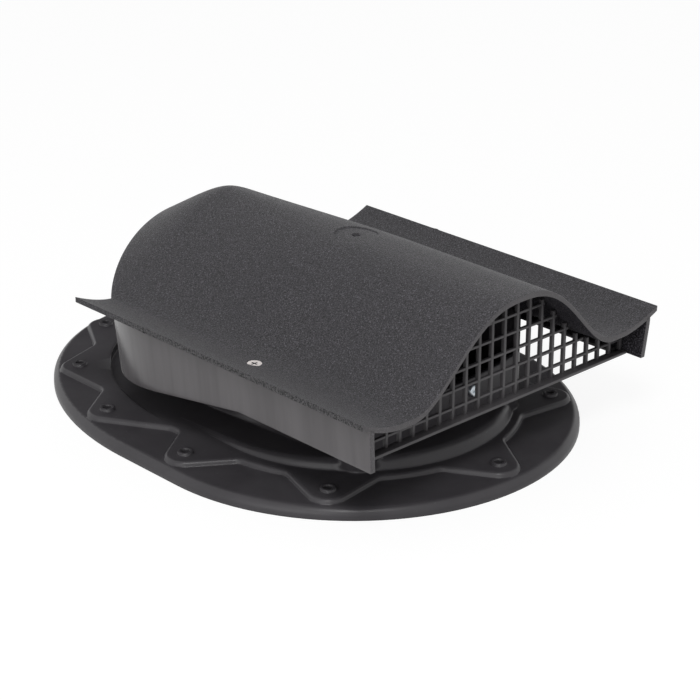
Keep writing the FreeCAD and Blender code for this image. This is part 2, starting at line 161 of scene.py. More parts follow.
# The blasted grain is about 0.4 mm, finer than a pixel here, so it and its painted glints are drawn coarser.
grain = add(tree, NOISE, {"Vector": place, "Scale": scale_of(0.7), "Detail": 2.0, "Roughness": 0.65})
painted_glint_noise = add(tree, NOISE, {"Vector": place, "Scale": scale_of(0.8), "Detail": 2.0, "Roughness": 0.7})
patches = add(tree, NOISE, {"Vector": place, "Scale": scale_of(60), "Detail": 3.0})
drawn = add(tree, "ShaderNodeMapping", {"Vector": place, "Scale": (1.0, 1.0, 0.05)})
bands = add(tree, NOISE, {"Vector": drawn, "Scale": scale_of(11), "Detail": 3.0})
tears = add(tree, NOISE, {"Vector": place, "Scale": scale_of(1.5), "Detail": 2.0, "Roughness": 0.7})
chips = add(tree, RANGE, {0: tears, 1: 0.44, 2: 0.6})
print(hood_plastic.name, len(tree.nodes), "nodes so far")

# %% Sand-textured polypropylene: its colours
share = add(tree, RANGE, {0: grain, 1: 0.4, 2: 0.62})
top = add(tree, MIX, {SHARE: share, FIRST: linear("#020202"), SECOND: linear("#363439")}, data_type="RGBA")
# Painted highlights: light specks mixed into the colour stand for the glints of the sand grains.
share = add(tree, RANGE, {0: painted_glint_noise, 1: 0.52, 2: 0.78})
top = add(tree, MIX, {SHARE: share, FIRST: top.outputs[MIXED], SECOND: linear("#7a777e")}, data_type="RGBA")
share = add(tree, RANGE, {0: patches, 1: 0.35, 2: 0.65, 4: 0.22})
top = add(tree, MIX, {SHARE: share, FIRST: top.outputs[MIXED], SECOND: linear("#2b2a2e")}, data_type="RGBA")
share = add(tree, RANGE, {0: bands, 1: 0.35, 2: 0.65})
side = add(tree, MIX, {SHARE: share, FIRST: linear("#4f4c4e"), SECOND: linear("#5a5759")}, data_type="RGBA")
edge = add(tree, MIX, {SHARE: chips, FIRST: linear("#0b0a0c"), SECOND: linear("#4f4d50")}, data_type="RGBA")
whole = add(tree, MIX, {SHARE: sanded, FIRST: side.outputs[MIXED], SECOND: top.outputs[MIXED]},
            data_type="RGBA")
whole = add(tree, MIX, {SHARE: torn, FIRST: whole.outputs[MIXED], SECOND: edge.outputs[MIXED]},
            data_type="RGBA")
tree.links.new(whole.outputs[MIXED], shader.inputs["Base Color"])
print(hood_plastic.name, len(tree.nodes), "nodes so far")

# %% Sand-textured polypropylene: its gloss and relief
SLIDE_ROUGHNESS = 0.24
rough = add(tree, RANGE, {0: grain, 1: 0.3, 2: 0.7, 3: 0.74, 4: 0.54})
rough = add(tree, MIX, {SHARE: sanded, 2: SLIDE_ROUGHNESS, 3: rough})
tree.links.new(rough.outputs[0], shader.inputs["Roughness"])
relief = add(tree, MATH, {0: grain, 1: sanded}, operation="MULTIPLY")
relief = add(tree, MATH, {0: chips, 1: torn, 2: relief}, operation="MULTIPLY_ADD")
bump = add(tree, "ShaderNodeBump", {"Strength": 0.9, "Distance": 0.5 * MM, "Height": relief})
tree.links.new(bump.outputs[0], shader.inputs["Normal"])
shine = add(tree, RANGE, {0: core_side, 3: 0.5, 4: 0.1})
tree.links.new(shine.outputs[0], shader.inputs["Specular IOR Level"])
haze = add(tree, RANGE, {0: core_side, 3: 0.18, 4: 0.0})
tree.links.new(haze.outputs[0], shader.inputs["Sheen Weight"])
shader.inputs["Sheen Roughness"].default_value = 0.3
shader.inputs["IOR"].default_value = POLYPROPYLENE_IOR
print(hood_plastic.name, len(tree.nodes), "nodes")

# %% [markdown]
# ## The base's and the grille's plastic
# The base came out of a smooth cavity: near black, with a satin sheen that makes its rounded rims and
# arms stand out as soft light lines. Its level flats and the inside of its duct are duller, so the way
# a point faces, and an attribute for the duct, say how much it shines. Slow flow marks change the gloss
# a little, and fine dust lightens the flats here and there. A Bevel node softens the normals along the
# solid's edges. The grille is the same stock, a shade lighter on its thin bars.

# %% Satin polypropylene: where it shines
base_plastic, tree, shader, place = material_of("polypropylene_satin_moulded")
facing = add(tree, "ShaderNodeTexCoord").outputs["Normal"]
level = add(tree, "ShaderNodeSeparateXYZ", {0: facing}).outputs["Z"]
rounded = add(tree, RANGE, {0: level, 1: 0.9, 2: 0.995, 3: 1.0, 4: 0.0})
core_side = add(tree, "ShaderNodeAttribute", attribute_name="core_side").outputs["Fac"]
polished = add(tree, RANGE, {0: core_side, 3: 1.0, 4: 0.0})
rounded = add(tree, MATH, {0: rounded, 1: polished}, operation="MULTIPLY")
shine = add(tree, RANGE, {0: rounded, 3: 0.03, 4: 0.34})
tree.links.new(shine.outputs[0], shader.inputs["Specular IOR Level"])
shader.inputs["IOR"].default_value = POLYPROPYLENE_IOR
print(base_plastic.name, len(tree.nodes), "nodes so far")

# %% Satin polypropylene: deep, with light along every rounded edge
FLAT_ROUGHNESS = 0.6
flow = add(tree, NOISE, {"Vector": place, "Scale": scale_of(40), "Detail": 4.0, "Distortion": 0.6})
motes = add(tree, NOISE, {"Vector": place, "Scale": scale_of(2.2), "Detail": 4.0, "Roughness": 0.7})
dust = add(tree, RANGE, {0: motes, 1: 0.66, 2: 0.78})
share = add(tree, RANGE, {0: flow, 1: 0.3, 2: 0.7})
tone = add(tree, MIX, {SHARE: share, FIRST: linear("#3c3a3d"), SECOND: linear("#464447")}, data_type="RGBA")
tone = add(tree, MIX, {SHARE: dust, FIRST: tone.outputs[MIXED], SECOND: linear("#5a595c")}, data_type="RGBA")
tree.links.new(tone.outputs[MIXED], shader.inputs["Base Color"])
rough = add(tree, RANGE, {0: flow, 1: 0.3, 2: 0.7, 3: 0.28, 4: 0.38})
rough = add(tree, MIX, {SHARE: rounded, 2: FLAT_ROUGHNESS, 3: rough})
tree.links.new(rough.outputs[0], shader.inputs["Roughness"])
orange_peel = add(tree, NOISE, {"Vector": place, "Scale": scale_of(3.0), "Detail": 2.0})
soft_edges = add(tree, "ShaderNodeBevel", {"Radius": 2.4 * MM}, samples=8)
bump = add(tree, "ShaderNodeBump", {"Strength": 0.1, "Distance": 0.25 * MM, "Height": orange_peel,
                                    "Normal": soft_edges})
tree.links.new(bump.outputs[0], shader.inputs["Normal"])
print(base_plastic.name, len(tree.nodes), "nodes")

# %% Thin-moulded polypropylene: dark grey bars with a soft gloss
grille_plastic, tree, shader, place = material_of("polypropylene_thin_moulded")
flow = add(tree, NOISE, {"Vector": place, "Scale": scale_of(14), "Detail": 3.0})
share = add(tree, RANGE, {0: flow, 1: 0.3, 2: 0.7})
tone = add(tree, MIX, {SHARE: share, FIRST: linear("#444244"), SECOND: linear("#514f51")}, data_type="RGBA")
tree.links.new(tone.outputs[MIXED], shader.inputs["Base Color"])
rough = add(tree, RANGE, {0: flow, 1: 0.3, 2: 0.7, 3: 0.4, 4: 0.52})
tree.links.new(rough.outputs[0], shader.inputs["Roughness"])
shader.inputs["IOR"].default_value = POLYPROPYLENE_IOR
print(grille_plastic.name, len(tree.nodes), "nodes")

# %% [markdown]
# ## The screws' platings
# The wing screws look dull, as a cloudy plating does. The duct screws look like bright zinc with a cold
# blue cast. Both are metals, so their colour is the colour of what they reflect, and clouds in tone and
# roughness keep them from looking like mirrors.


# %% Plated steel, dull and bright
def plating(name, dark, light, smooth, dull):
    material, tree, shader, place = material_of(name)
    cloud = add(tree, NOISE, {"Vector": place, "Scale": scale_of(1.6), "Detail": 3.0})
    share = add(tree, RANGE, {0: cloud, 1: 0.3, 2: 0.7})
    tone = add(tree, MIX, {SHARE: share, FIRST: linear(dark), SECOND: linear(light)}, data_type="RGBA")
    tree.links.new(tone.outputs[MIXED], shader.inputs["Base Color"])
    rough = add(tree, RANGE, {0: cloud, 1: 0.3, 2: 0.7, 3: dull, 4: smooth})
    tree.links.new(rough.outputs[0], shader.inputs["Roughness"])
    shader.inputs["Metallic"].default_value = 1.0
    print(name, len(tree.nodes), "nodes")
    return material


dull_steel = plating("steel_dull_plated", "#dad4d1", "#f2ecea", 0.4, 0.55)
bright_zinc = plating("steel_bright_zinc", "#d3dde4", "#f6fbff", 0.3, 0.45)

# %% [markdown]
# ## The hood's wave
# The hood's top is the one surface here that follows a rule: a wave across, soft at the mouth and
# fuller behind, with wings that curl up at both sides and a round back. A plain flat plan of the top
# is drawn first, and a Geometry Nodes tree lifts every point of it by the rule. The same tree, asked
# for a drop of one wall, gives the underside, so the two skins always match.

# %% The rule's sizes, in millimetres
FRONT = -171.3
LENGTH = 240.0
WALL = 3.3
LEVEL = 67.5
LEAN = math.tan(math.radians(2.9))
WING_HALF = 117.0
BODY_HALF = 111.6
STRAIGHT = 176.0
CENTRE = FRONT + STRAIGHT
FIN_END = math.asin((FRONT + LENGTH - CENTRE) / BODY_HALF)
LEAN_FADE = 30.0
MARK_SETBACK = 127.0
SCREW_OFFSET, SCREW_SETBACK = 93.0, 110.0
wave_inputs = {"Front": FRONT, "Length": LENGTH, "Level": LEVEL, "Lean fade": LEAN_FADE, "Wing flare": 29.0,
               "Wing rise": 8.2, "Valley half width": 88.0, "Mouth half width": 79.5, "Crest rise": 47.2,
               "Crest climb": 1.0, "Rear turn": 238.0, "Rear reach": 95.0, "Blend start": 100.0,
               "Blend end": 290.0, "Mark setback": MARK_SETBACK, "Mark radius": 12.5, "Mark depth": 0.8,
               "Dimple radius": 2.2, "Dimple depth": 1.7, "Screw offset": SCREW_OFFSET,
               "Screw setback": SCREW_SETBACK, "Seat radius": 4.25,
               "Seat height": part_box("wing_screws")[1][2] / MM - 0.3, "Drop": 0.0}
print("screw seat at", round(wave_inputs["Seat height"], 2), "mm")


# %% A flat plan: a long front, a round back and two fins beside it
ACROSS, CURL, ALONG, FIN, ROUND, FIN_ACROSS = 56, 3, 88, 18, 60, 14
BACK_DRAW, BACK_CURVE = 2.25, 1.3
FINER = ((0, MARK_SETBACK, 18.0), (SCREW_OFFSET, SCREW_SETBACK, 8.0), (-SCREW_OFFSET, SCREW_SETBACK, 8.0))


def hood_plan(name, back_inset):
    work = bmesh.new()

    def patch(rows):
        grid = [[work.verts.new((x * MM, y * MM, 0)) for x, y in row] for row in rows]
        for lower, upper in zip(grid, grid[1:]):
            for k in range(len(lower) - 1):
                work.faces.new((lower[k], lower[k + 1], upper[k + 1], upper[k]))

    half = [BODY_HALF * i / ACROSS for i in range(ACROSS + 1)]
    curl = [BODY_HALF + (WING_HALF - BODY_HALF) * i / CURL for i in range(1, CURL + 1)]
    right = half + curl
    across = [-x for x in reversed(right)][:-1] + right
    patch([[(x, FRONT + STRAIGHT * j / ALONG) for x in across] for j in range(ALONG + 1)])
    fin = [FIN_END * i / FIN for i in range(FIN + 1)]
    back = [FIN_END + (math.pi - 2 * FIN_END) * i / ROUND for i in range(ROUND + 1)]
    angles = fin + back[1:-1] + [math.pi - angle for angle in reversed(fin)]
    rows = []
    for angle in angles:
        rise = max(0.0, (math.sin(angle) - math.sin(FIN_END)) / (1 - math.sin(FIN_END)))
        rim = BODY_HALF - BACK_DRAW * rise ** BACK_CURVE
        rows.append([(rim * i / ACROSS * math.cos(angle), CENTRE + rim * i / ACROSS * math.sin(angle))
                     for i in range(ACROSS + 1)])
    patch(rows)
    for side in (1, -1):
        rows = []
        for angle in fin:
            x, y = BODY_HALF * math.cos(angle), CENTRE + BODY_HALF * math.sin(angle)
            rows.append([(side * (x + (WING_HALF - x) * i / FIN_ACROSS), y) for i in range(FIN_ACROSS + 1)])
        patch(rows)
    bmesh.ops.remove_doubles(work, verts=work.verts, dist=1e-6)
    near = [edge for edge in work.edges
            if any(math.hypot(v.co.x / MM - x, v.co.y / MM - FRONT - y) < reach
                   for v in edge.verts for x, y, reach in FINER)]
    bmesh.ops.subdivide_edges(work, edges=near, cuts=3, use_grid_fill=True)
    for vert in work.verts:
        x, y = vert.co.x, vert.co.y - CENTRE * MM
        if FIN_END - 1e-4 < math.atan2(y, x) < math.pi - FIN_END + 1e-4:
            vert.co.x -= back_inset / BODY_HALF * x
            vert.co.y -= back_inset / BODY_HALF * y
    for face in work.faces:
        face.normal_update()
        if face.normal.z < 0:
            face.normal_flip()
        face.smooth = True
    return piece_of(name, work)


# %% The tree that lifts the plan
WING_CURVE, MOUTH_CURVE, REAR_CURVE = 1.7, 1.3, 0.85
wave = bpy.data.node_groups.new("hood_wave", "GeometryNodeTree")
wave.interface.new_socket("Geometry", in_out="INPUT", socket_type="NodeSocketGeometry")
wave.interface.new_socket("Geometry", in_out="OUTPUT", socket_type="NodeSocketGeometry")
for name in wave_inputs:
    wave.interface.new_socket(name, in_out="INPUT", socket_type="NodeSocketFloat")
size = add(wave, "NodeGroupInput").outputs
spot = add(wave, "ShaderNodeSeparateXYZ", {0: add(wave, "GeometryNodeInputPosition")})
x = add(wave, MATH, {0: spot.outputs["X"]}, operation="ABSOLUTE")
along = add(wave, MATH, {0: spot.outputs["Y"], 1: size["Front"]}, operation="SUBTRACT")
past = add(wave, MATH, {0: x, 1: size["Valley half width"]}, operation="SUBTRACT")
past = add(wave, MATH, {0: past, 1: 0.0}, operation="MAXIMUM")
flare = add(wave, MATH, {0: past, 1: size["Wing flare"]}, operation="DIVIDE")
curl = add(wave, MATH, {0: flare, 1: WING_CURVE}, operation="POWER")
wing = add(wave, MATH, {0: curl, 1: size["Wing rise"], 2: size["Level"]}, operation="MULTIPLY_ADD")
aft = add(wave, MATH, {0: along, 1: size["Rear turn"]}, operation="SUBTRACT")
aft = add(wave, MATH, {0: aft, 1: 0.0}, operation="MAXIMUM")
aft = add(wave, MATH, {0: aft, 1: size["Rear reach"]}, operation="DIVIDE")


def spread_by(width):
    across = add(wave, MATH, {0: x, 1: size[width]}, operation="DIVIDE")
    apart = add(wave, "ShaderNodeCombineXYZ", {0: across, 1: aft})
    apart = add(wave, "ShaderNodeVectorMath", {0: apart}, operation="LENGTH")
    return add(wave, MATH, {0: apart.outputs["Value"], 1: 1.0}, operation="MINIMUM")


soft = spread_by("Mouth half width")
soft = add(wave, MATH, {0: soft, 1: MOUTH_CURVE}, operation="POWER")
soft = add(wave, MATH, {0: soft, 1: math.pi}, operation="MULTIPLY")
soft = add(wave, MATH, {0: soft}, operation="COSINE")
soft = add(wave, MATH, {0: soft, 1: 0.5, 2: 0.5}, operation="MULTIPLY_ADD")
ROUNDING = 0.24
full = spread_by("Valley half width")
full = add(wave, MATH, {0: full, 1: REAR_CURVE}, operation="POWER")
full = add(wave, "ShaderNodeCombineXYZ", {0: full, 1: ROUNDING})
full = add(wave, "ShaderNodeVectorMath", {0: full}, operation="LENGTH").outputs["Value"]
full = add(wave, RANGE, {0: full, 1: ROUNDING, 2: math.hypot(1, ROUNDING), 3: 1.0, 4: 0.0})
share = add(wave, RANGE, {0: along, 1: size["Blend start"], 2: size["Blend end"]},
            interpolation_type="SMOOTHSTEP")
hump = add(wave, MIX, {0: share, 2: soft, 3: full})
crest = add(wave, MATH, {0: along, 1: size["Length"]}, operation="DIVIDE")
crest = add(wave, MATH, {0: crest, 1: size["Crest climb"], 2: size["Crest rise"]}, operation="MULTIPLY_ADD")
height = add(wave, MATH, {0: hump, 1: crest, 2: wing}, operation="MULTIPLY_ADD")
print("wave tree", len(wave.nodes), "nodes")

# %% [markdown]
# Marks are pressed into the top by the same rule. The gate mark on the crest and the dimple in it are
# steps in height at a distance from a place. A screw's seat is flat, so there the height is held down
# to the seat. The underside is the top with one wall taken off, and the front edge leans out as it
# climbs, which the last step does by sliding the first rows of points forward.


# %% Marks, wall, lean and the end of the tree
def step_at(offset, setback, radius, inside, outside):
    sideways = add(wave, MATH, {0: x, 1: offset}, operation="SUBTRACT")
    lengthways = add(wave, MATH, {0: along, 1: size[setback]}, operation="SUBTRACT")
    away = add(wave, "ShaderNodeCombineXYZ", {0: sideways, 1: lengthways})
    away = add(wave, "ShaderNodeVectorMath", {0: away}, operation="LENGTH").outputs["Value"]
    rim = add(wave, MATH, {0: size[radius], 1: 0.5 * MM}, operation="ADD")
    return add(wave, RANGE, {0: away, 1: size[radius], 2: rim, 3: inside, 4: outside})


mark = step_at(0.0, "Mark setback", "Mark radius", size["Mark depth"], 0.0)
dimple = step_at(0.0, "Mark setback", "Dimple radius", size["Dimple depth"], 0.0)
seat = step_at(size["Screw offset"], "Screw setback", "Seat radius", size["Seat height"], 1.0)
pressed = add(wave, MATH, {0: height, 1: mark}, operation="SUBTRACT")
pressed = add(wave, MATH, {0: pressed, 1: dimple}, operation="SUBTRACT")
pressed = add(wave, MATH, {0: pressed, 1: seat}, operation="MINIMUM")
under = add(wave, MATH, {0: height, 1: size["Drop"]}, operation="SUBTRACT")
is_under = add(wave, MATH, {0: size["Drop"], 1: 0.0}, operation="GREATER_THAN")
level = add(wave, MIX, {0: is_under, 2: pressed, 3: under})
fade = add(wave, RANGE, {0: along, 1: 0.0, 2: size["Lean fade"], 3: -LEAN, 4: 0.0})
climb = add(wave, MATH, {0: level, 1: size["Level"]}, operation="SUBTRACT")
slide = add(wave, MATH, {0: climb, 1: fade}, operation="MULTIPLY")
move = add(wave, "ShaderNodeCombineXYZ", {1: slide, 2: level})
lifted = add(wave, "GeometryNodeSetPosition", {"Geometry": size["Geometry"], "Offset": move})
real = add(wave, "GeometryNodeRealizeInstances", {"Geometry": lifted})
dressed = add(wave, "GeometryNodeSetMaterial", {"Geometry": real, "Material": hood_plastic})
add(wave, "NodeGroupOutput", {0: dressed})


def set_inputs(modifier, sizes):
    for item in modifier.node_group.interface.items_tree:
        if item.in_out == "INPUT" and item.name in sizes:
            modifier[item.identifier] = sizes[item.name]


def waved(name, back_inset, drop):
    skin = hood_plan(name, back_inset)
    modifier = skin.modifiers.new("wave", "NODES")
    modifier.node_group = wave
    set_inputs(modifier, {key: value * MM for key, value in wave_inputs.items()} | {"Drop": drop * MM})
    return made_plain(skin)


top_skin = waved("hood_top_skin", 0.0, 0.0)
under_skin = waved("hood_under_skin", WALL, WALL)
print("hood skins", len(top_skin.data.vertices), len(under_skin.data.vertices), "points")

# %% [markdown]
# ## Closing the hood
# The two skins are joined by a rim along the mouth and the wings. Round the back there is no rim: the
# top runs straight down into the skirt, as it does in the mould, so a drafted wall hangs there from
# edge to edge. Under the wings the skirt is a wall of its own that runs up into the sheet.

# %% The skirt's sizes
LIFT = 45.4
DRAFT = math.tan(math.radians(5.0))
KINK = FRONT + 105.0
FALL = 0.17
RINGS = 10


def skirt_foot(y):
    return LIFT - FALL * max(0.0, y - KINK)


def wall_chain(direction, spine, top, inner_top):
    """Points down the outside of the skirt, and up its inside, in millimetres."""
    foot = skirt_foot(spine + direction[1] * BODY_HALF)
    chain = []
    for inset, heights in ((0.0, [top + (foot - top) * k / RINGS for k in range(RINGS + 1)]),
                           (WALL, [foot + (inner_top - foot) * k / RINGS for k in range(RINGS + 1)])):
        for z in heights:
            r = BODY_HALF - abs(z - LEVEL) * DRAFT - inset
            slide = LEAN * (z - LEVEL) * max(0.0, 1 - (spine - FRONT) / LEAN_FADE)
            chain.append((direction[0] * r, spine + direction[1] * r - slide, z))
    return chain


def strip(work, chains, closed):
    """Faces between neighbouring chains of points; closed chains are rings."""
    for left, right in zip(chains, chains[1:]):
        count = len(left)
        for k in range(count if closed else count - 1):
            n = (k + 1) % count
            work.faces.new((left[k], left[n], right[n], right[k]))


print("skirt's foot", LIFT, "mm at the mouth,", round(skirt_foot(CENTRE + BODY_HALF), 1), "mm at the back")

# %% Join the skins, the rim and the back wall
work = bmesh.new()
work.from_mesh(top_skin.data)
count = len(work.verts)
work.from_mesh(under_skin.data)
work.verts.index_update()
points = list(work.verts)
work.faces.ensure_lookup_table()
faces_each = len(work.faces) // 2
bmesh.ops.reverse_faces(work, faces=work.faces[faces_each:])
rim = [edge for edge in work.edges if edge.is_boundary and edge.verts[0].index < count]
fin_y = (FRONT + LENGTH) * MM


def on_back(vert):
    x, y = vert.co.x, vert.co.y - CENTRE * MM
    return vert.co.y > fin_y - 1e-6 and math.hypot(x, y) < (BODY_HALF + 0.01) * MM


back_verts = {}
for edge in rim:
    a, b = edge.verts
    if on_back(a) and on_back(b):
        for vert in (a, b):
            back_verts[vert.index] = math.atan2(vert.co.y - CENTRE * MM, vert.co.x)
    else:
        work.faces.new((a, b, points[b.index + count], points[a.index + count]))
order = sorted(back_verts, key=back_verts.get)
chains = []
for index in order:
    outer, inner = points[index], points[index + count]
    angle = back_verts[index]
    wall = wall_chain((math.cos(angle), math.sin(angle)), CENTRE, outer.co.z / MM, inner.co.z / MM)
    hung = [work.verts.new(Vector(point) * MM) for point in wall[1:-1]]
    chains.append([outer] + hung + [inner])
strip(work, chains, False)
for chain in (chains[0], chains[-1]):
    work.faces.new(chain)
bmesh.ops.recalc_face_normals(work, faces=work.faces)
print("back wall", len(chains), "stations")

# %% The skirt under each wing, run up into the sheet
STATIONS, TURNS = 64, 21
PAST_FIN = 0.03
sheet = BVHTree.FromPolygons([v.co for v in top_skin.data.vertices],
                             [p.vertices for p in top_skin.data.polygons])
for side in (1, -1):
    stations = [((side, 0), FRONT + STRAIGHT * j / STATIONS) for j in range(STATIONS + 1)]
    stations = sorted(stations + [((side, 0), KINK)], key=lambda station: station[1])
    for j in range(1, TURNS + 1):
        angle = (FIN_END + PAST_FIN) * j / TURNS
        stations.append(((side * math.cos(angle), math.sin(angle)), CENTRE))
    chains = []
    for direction, spine in stations:
        reach = BODY_HALF - WALL / 2
        probe = Vector((direction[0] * reach, max(FRONT + 0.1, spine + direction[1] * reach), 0)) * MM
        hit = sheet.ray_cast(probe, Vector((0, 0, 1)))[0]
        top = hit.z / MM - WALL / 2
        wall = wall_chain(direction, spine, top, top)
        chains.append([work.verts.new(Vector(point) * MM) for point in wall])
    first = len(work.faces)
    strip(work, chains, True)
    work.faces.new(chains[0])
    work.faces.new(chains[-1])
    work.faces.ensure_lookup_table()
    bmesh.ops.recalc_face_normals(work, faces=work.faces[first:])
hood = piece_of("hood_moulding", work)
print("skirts", len(stations), "stations each")

# %% [markdown]
# A moulded edge is never knife sharp, so a bevel of under a millimetre rounds every edge of the hood.
# Then each face is told which surface it has: the way it faces and its place are enough to tell the top,
# the skirt, the mouth's rim, a wing's edge and the inside apart.

# %% Round the edges
bpy.data.objects.remove(top_skin)
soften = hood.modifiers.new("moulded_edges", "BEVEL")
soften.width = 0.8 * MM
soften.segments = 3
soften.limit_method = "ANGLE"
soften.angle_limit = math.radians(38)
soften.use_clamp_overlap = True
made_plain(hood)
hood.data.materials.clear()
hood.data.materials.append(hood_plastic)
print("hood", len(hood.data.polygons), "faces")

# %% Say where the sanded, the torn and the dull surfaces are
UPWARD = 0.25
OUTWARD = 60
RIM_REACH = 8.0
RIM_GRAIN = 0.4
TEAR_START = FRONT + LENGTH - 15.0
TEAR_FADE = 50.0
sanded = hood.data.attributes.new("sanded", "FLOAT", "FACE")
torn = hood.data.attributes.new("torn", "FLOAT", "FACE")
core_side = hood.data.attributes.new("core_side", "FLOAT", "FACE")
for face in hood.data.polygons:
    x, y = face.center.xy / MM
    on_edge = abs(x) > WING_HALF - 0.3 and abs(face.normal.x) > 0.5
    on_rim = y < FRONT + RIM_REACH and face.normal.y < -0.3
    tear = min(1.0, max(0.0, (TEAR_START - y) / TEAR_FADE))
    torn.data[face.index].value = tear if on_edge else 0.0
    outward = x * face.normal.x + max(0.0, y - CENTRE) * face.normal.y > OUTWARD
    drawn = outward and face.normal.z < UPWARD and not on_edge
    sanded.data[face.index].value = RIM_GRAIN if on_rim else 0.0 if drawn else 1.0
    seen_face = on_rim or drawn or on_edge or face.normal.z > UPWARD
    core_side.data[face.index].value = 0.0 if seen_face else 1.0
hood.data.shade_smooth()
hood.data.set_sharp_from_angle(angle=math.radians(35))
for kind in (torn, core_side):
    print(kind.name, sum(item.value > 0 for item in kind.data), "faces")

# %% [markdown]
# ## The grille
# The grille is a lattice that fills the hood's mouth: upright bars at an even pitch, and level rows
# between them, all cut off a little below the hood's underside. Bars repeat, and they follow a
# surface, so a Geometry Nodes tree makes them. Each bar looks straight up with a Raycast at the
# underside and grows to just below it. Each row starts as a line of close points, loses those that
# have no room above them, and what is left becomes straight bars.

# %% The lattice's sizes, in millimetres
INNER = BODY_HALF - (LEVEL - LIFT) * DRAFT - WALL
SPAN = INNER - 0.3
BARS, ROWS = 22, 6
BAR_WIDTH, BAR_DEPTH = 1.9, 2.4
BAR_FRONT = FRONT + 14.9
BAR_REACH = SPAN - 0.5 - BAR_WIDTH / 2
lattice_inputs = {"Bar reach": BAR_REACH, "Bar width": BAR_WIDTH, "Bar depth": BAR_DEPTH, "Foot": LIFT,
                  "Middle": BAR_FRONT + BAR_DEPTH / 2, "Row reach": SPAN, "First row": LIFT + 8.2,
                  "Row pitch": 10.3, "Row height": 1.5, "Row depth": 2.0, "Room": 1.5}
print("bar pitch", round(2 * BAR_REACH / (BARS - 1), 2), "mm")

# %% The tree: inputs, and how far it is up to the hood
lattice = bpy.data.node_groups.new("grille_lattice", "GeometryNodeTree")
lattice.interface.new_socket("Geometry", in_out="OUTPUT", socket_type="NodeSocketGeometry")
lattice.interface.new_socket("Hood underside", in_out="INPUT", socket_type="NodeSocketObject")
for name in lattice_inputs:
    lattice.interface.new_socket(name, in_out="INPUT", socket_type="NodeSocketFloat")
size = add(lattice, "NodeGroupInput").outputs
cover = add(lattice, "GeometryNodeObjectInfo", {"Object": size["Hood underside"]}).outputs["Geometry"]
look_up = add(lattice, "GeometryNodeRaycast", {"Target Geometry": cover, "Ray Direction": (0, 0, 1),
                                               "Ray Length": 1.0})
room = add(lattice, MATH, {0: look_up.outputs["Hit Distance"], 1: size["Room"]}, operation="SUBTRACT")
print("lattice tree", len(lattice.nodes), "nodes so far")

# %% Upright bars: a line of points, and a block on each as tall as the room above it
far_left = add(lattice, MATH, {0: size["Bar reach"], 1: -1.0}, operation="MULTIPLY")
start = add(lattice, "ShaderNodeCombineXYZ", {0: far_left, 1: size["Middle"], 2: size["Foot"]})
stop = add(lattice, "ShaderNodeCombineXYZ", {0: size["Bar reach"], 1: size["Middle"], 2: size["Foot"]})
feet = add(lattice, "GeometryNodeMeshLine", {"Count": BARS, "Start Location": start, "Offset": stop},
           mode="END_POINTS")
block = add(lattice, "GeometryNodeMeshCube", {"Size": (1, 1, 1)})
stood = add(lattice, "GeometryNodeTransform", {"Geometry": block, "Translation": (0, 0, 0.5)})
stature = add(lattice, "ShaderNodeCombineXYZ", {0: size["Bar width"], 1: size["Bar depth"], 2: room})
bars = add(lattice, "GeometryNodeInstanceOnPoints", {"Points": feet, "Instance": stood, "Scale": stature})
print("lattice tree", len(lattice.nodes), "nodes so far")

# %% Rows: close points in lines, trimmed where the hood comes down, then drawn out as bars
LINE_POINTS = 424
first = add(lattice, "ShaderNodeCombineXYZ", {1: size["Middle"], 2: size["First row"]})
climb = add(lattice, "ShaderNodeCombineXYZ", {2: size["Row pitch"]})
levels = add(lattice, "GeometryNodeMeshLine", {"Count": ROWS, "Start Location": first, "Offset": climb})
far_left = add(lattice, MATH, {0: size["Row reach"], 1: -1.0}, operation="MULTIPLY")
left = add(lattice, "ShaderNodeCombineXYZ", {0: far_left})
right = add(lattice, "ShaderNodeCombineXYZ", {0: size["Row reach"]})
line = add(lattice, "GeometryNodeMeshLine", {"Count": LINE_POINTS, "Start Location": left, "Offset": right},
           mode="END_POINTS")
lines = add(lattice, "GeometryNodeInstanceOnPoints", {"Points": levels, "Instance": line})
lines = add(lattice, "GeometryNodeRealizeInstances", {"Geometry": lines})
half_row = add(lattice, MATH, {0: size["Row height"], 1: 0.5}, operation="MULTIPLY")
tight = add(lattice, "FunctionNodeCompare", {0: room, 1: half_row}, operation="LESS_THAN")
missed = add(lattice, "FunctionNodeBooleanMath", {0: look_up.outputs["Is Hit"]}, operation="NOT")
crowded = add(lattice, "FunctionNodeBooleanMath", {0: tight, 1: missed}, operation="OR")
kept = add(lattice, "GeometryNodeDeleteGeometry", {"Geometry": lines, "Selection": crowded})
path = add(lattice, "GeometryNodeMeshToCurve", {"Mesh": kept})
path = add(lattice, "GeometryNodeResampleCurve", {"Curve": path, "Count": 2})
path = add(lattice, "GeometryNodeSetCurveNormal", {"Curve": path}, mode="Z_UP")
section = add(lattice, "GeometryNodeCurvePrimitiveQuadrilateral", {"Width": size["Row depth"],
                                                                  "Height": size["Row height"]})
rows = add(lattice, "GeometryNodeCurveToMesh", {"Curve": path, "Profile Curve": section, "Fill Caps": True})
print("lattice tree", len(lattice.nodes), "nodes so far")

# %% Join the lattice and grow it
joined = add(lattice, "GeometryNodeJoinGeometry")
lattice.links.new(bars.outputs[0], joined.inputs[0])
lattice.links.new(rows.outputs[0], joined.inputs[0])
real = add(lattice, "GeometryNodeRealizeInstances", {"Geometry": joined})
dressed = add(lattice, "GeometryNodeSetMaterial", {"Geometry": real, "Material": grille_plastic})
add(lattice, "NodeGroupOutput", {0: dressed})
grille = piece_of("grille_moulding", bmesh.new())
grow = grille.modifiers.new("lattice", "NODES")
grow.node_group = lattice
in_metres = {key: value * MM for key, value in lattice_inputs.items()}
set_inputs(grow, in_metres | {"Hood underside": under_skin})
made_plain(grille)
bpy.data.objects.remove(under_skin)
print("lattice", len(grille.data.polygons), "faces")

